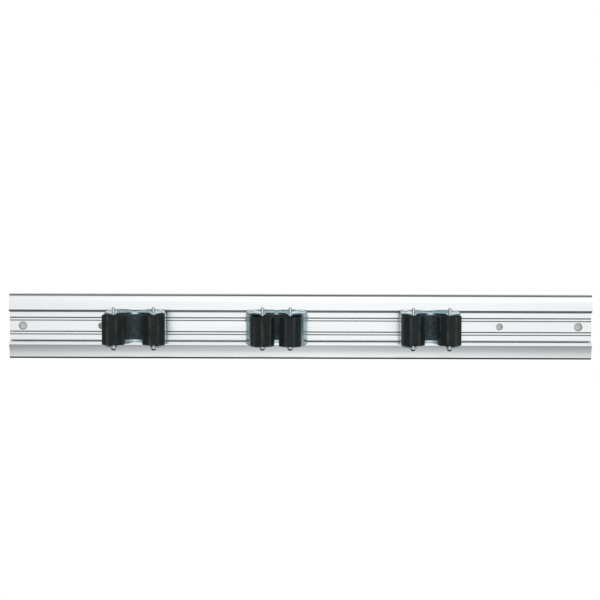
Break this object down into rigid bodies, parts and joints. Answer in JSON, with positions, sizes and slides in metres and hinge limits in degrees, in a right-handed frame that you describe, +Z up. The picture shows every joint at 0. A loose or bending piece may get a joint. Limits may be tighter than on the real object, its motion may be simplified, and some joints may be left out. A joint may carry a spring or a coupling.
{
  "type": "wall mop holder rack",
  "caption": "Aluminium wall rail with sliding spring clips that grip broom and mop handles between pairs of black rubber rollers on sprung zinc plated arms.",
  "frame": {"origin": "centre of the rail's back face, on the wall", "axes": "+X along the rail to the right as seen from the front, +Y into the wall, +Z up"},
  "size_m": [0.45, 0.0434, 0.05],
  "materials": {
    "anodised_aluminium": "silver anodised extrusion with fine lines along its length",
    "zinc_steel": "bright zinc plated pressed steel, slightly blue",
    "pin_steel": "bright zinc plated pins",
    "spring_steel": "dark drawn spring wire",
    "black_rubber": "black moulded rubber, matte with a slight grain"
  },
  "bodies": {
    "rail": {"rail": "anodised_aluminium"},
    "left_clip_carriage": {"left_clip_slide_plate": "zinc_steel", "left_clip_base": "zinc_steel", "left_clip_base_rivets": "pin_steel", "left_clip_left_pivot_pin": "pin_steel", "left_clip_left_spring": "spring_steel", "left_clip_right_pivot_pin": "pin_steel", "left_clip_right_spring": "spring_steel"},
    "left_clip_left_arm_body": {"left_clip_left_arm": "zinc_steel", "left_clip_left_axle": "pin_steel"},
    "left_clip_left_roller_body": {"left_clip_left_roller": "black_rubber"},
    "left_clip_right_arm_body": {"left_clip_right_arm": "zinc_steel", "left_clip_right_axle": "pin_steel"},
    "left_clip_right_roller_body": {"left_clip_right_roller": "black_rubber"},
    "middle_clip_carriage": {"middle_clip_slide_plate": "zinc_steel", "middle_clip_base": "zinc_steel", "middle_clip_base_rivets": "pin_steel", "middle_clip_left_pivot_pin": "pin_steel", "middle_clip_left_spring": "spring_steel", "middle_clip_right_pivot_pin": "pin_steel", "middle_clip_right_spring": "spring_steel"},
    "middle_clip_left_arm_body": {"middle_clip_left_arm": "zinc_steel", "middle_clip_left_axle": "pin_steel"},
    "middle_clip_left_roller_body": {"middle_clip_left_roller": "black_rubber"},
    "middle_clip_right_arm_body": {"middle_clip_right_arm": "zinc_steel", "middle_clip_right_axle": "pin_steel"},
    "middle_clip_right_roller_body": {"middle_clip_right_roller": "black_rubber"},
    "right_clip_carriage": {"right_clip_slide_plate": "zinc_steel", "right_clip_base": "zinc_steel", "right_clip_base_rivets": "pin_steel", "right_clip_left_pivot_pin": "pin_steel", "right_clip_left_spring": "spring_steel", "right_clip_right_pivot_pin": "pin_steel", "right_clip_right_spring": "spring_steel"},
    "right_clip_left_arm_body": {"right_clip_left_arm": "zinc_steel", "right_clip_left_axle": "pin_steel"},
    "right_clip_left_roller_body": {"right_clip_left_roller": "black_rubber"},
    "right_clip_right_arm_body": {"right_clip_right_arm": "zinc_steel", "right_clip_right_axle": "pin_steel"},
    "right_clip_right_roller_body": {"right_clip_right_roller": "black_rubber"}
  },
  "joints": [
    {"name": "left_clip_slide", "type": "slide", "parent": "rail", "child": "left_clip_carriage", "axis": [1, 0, 0], "range_m": [-0.07, 0.02]},
    {"name": "left_clip_left_arm_swing", "type": "hinge", "parent": "left_clip_carriage", "child": "left_clip_left_arm_body", "pos_m": [-0.146, -0.015, 0], "axis": [0, 0, -1], "range_deg": [-14, 26], "stiffness_Nm_per_rad": 0.2, "springref_deg": -71.29, "deforming": ["left_clip_left_spring"]},
    {"name": "left_clip_left_roller_spin", "type": "hinge", "parent": "left_clip_left_arm_body", "child": "left_clip_left_roller_body", "pos_m": [-0.1422, -0.0346, 0], "axis": [0, 0, 1], "continuous": true},
    {"name": "left_clip_right_arm_swing", "type": "hinge", "parent": "left_clip_carriage", "child": "left_clip_right_arm_body", "pos_m": [-0.108, -0.015, 0], "axis": [0, 0, 1], "range_deg": [-14, 26], "stiffness_Nm_per_rad": 0.2, "springref_deg": -71.29, "deforming": ["left_clip_right_spring"]},
    {"name": "left_clip_right_roller_spin", "type": "hinge", "parent": "left_clip_right_arm_body", "child": "left_clip_right_roller_body", "pos_m": [-0.1118, -0.0346, 0], "axis": [0, 0, 1], "continuous": true},
    {"name": "middle_clip_slide", "type": "slide", "parent": "rail", "child": "middle_clip_carriage", "axis": [1, 0, 0], "range_m": [-0.02, 0.024]},
    {"name": "middle_clip_left_arm_swing", "type": "hinge", "parent": "middle_clip_carriage", "child": "middle_clip_left_arm_body", "pos_m": [-0.0375, -0.015, 0], "axis": [0, 0, -1], "range_deg": [0, 40], "stiffness_Nm_per_rad": 0.2, "springref_deg": -57.3, "deforming": ["middle_clip_left_spring"]},
    {"name": "middle_clip_left_roller_spin", "type": "hinge", "parent": "middle_clip_left_arm_body", "child": "middle_clip_left_roller_body", "pos_m": [-0.02907, -0.0331, 0], "axis": [0, 0, 1], "continuous": true},
    {"name": "middle_clip_right_arm_swing", "type": "hinge", "parent": "middle_clip_carriage", "child": "middle_clip_right_arm_body", "pos_m": [0.0005, -0.015, 0], "axis": [0, 0, 1], "range_deg": [0, 40], "stiffness_Nm_per_rad": 0.2, "springref_deg": -57.3, "deforming": ["middle_clip_right_spring"]},
    {"name": "middle_clip_right_roller_spin", "type": "hinge", "parent": "middle_clip_right_arm_body", "child": "middle_clip_right_roller_body", "pos_m": [-0.00793, -0.0331, 0], "axis": [0, 0, 1], "continuous": true},
    {"name": "right_clip_slide", "type": "slide", "parent": "rail", "child": "right_clip_carriage", "axis": [1, 0, 0], "range_m": [-0.024, 0.095]},
    {"name": "right_clip_left_arm_swing", "type": "hinge", "parent": "right_clip_carriage", "child": "right_clip_left_arm_body", "pos_m": [0.0805, -0.015, 0], "axis": [0, 0, -1], "range_deg": [-10, 30], "stiffness_Nm_per_rad": 0.2, "springref_deg": -67.29, "deforming": ["right_clip_left_spring"]},
    {"name": "right_clip_left_roller_spin", "type": "hinge", "parent": "right_clip_left_arm_body", "child": "right_clip_left_roller_body", "pos_m": [0.08566, -0.03429, 0], "axis": [0, 0, 1], "continuous": true},
    {"name": "right_clip_right_arm_swing", "type": "hinge", "parent": "right_clip_carriage", "child": "right_clip_right_arm_body", "pos_m": [0.1185, -0.015, 0], "axis": [0, 0, 1], "range_deg": [-10, 30], "stiffness_Nm_per_rad": 0.2, "springref_deg": -67.29, "deforming": ["right_clip_right_spring"]},
    {"name": "right_clip_right_roller_spin", "type": "hinge", "parent": "right_clip_right_arm_body", "child": "right_clip_right_roller_body", "pos_m": [0.11334, -0.03429, 0], "axis": [0, 0, 1], "continuous": true}
  ]
}
